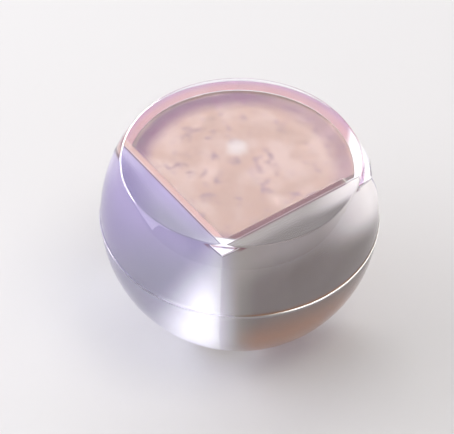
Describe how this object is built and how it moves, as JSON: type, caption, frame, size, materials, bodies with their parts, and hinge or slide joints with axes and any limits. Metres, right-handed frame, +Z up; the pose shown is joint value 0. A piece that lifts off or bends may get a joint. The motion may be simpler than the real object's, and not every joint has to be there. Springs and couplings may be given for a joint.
{
  "type": "furniture corner protector",
  "caption": "Clear soft ball-shaped corner protector with a flat top and a square notch that fits over a table corner, held by a clear adhesive pad.",
  "frame": {"origin": "on the ball's axis, in the plane of the adhesive pad's lower face, where the protector meets the table top", "axes": "+Z up, square to the flat top; +X and +Y along the two edges of the table corner that the notch takes, away from the corner"},
  "size_m": [0.0318, 0.0318, 0.0225],
  "materials": {
    "clear_soft_vinyl": "clear soft vinyl, glossy, with a faint lavender tint",
    "clear_acrylic_gel": "clear acrylic gel, slightly hazy, tacky"
  },
  "bodies": {
    "root": {"bumper_body": "clear_soft_vinyl", "adhesive_pad": "clear_acrylic_gel"}
  },
  "joints": []
}
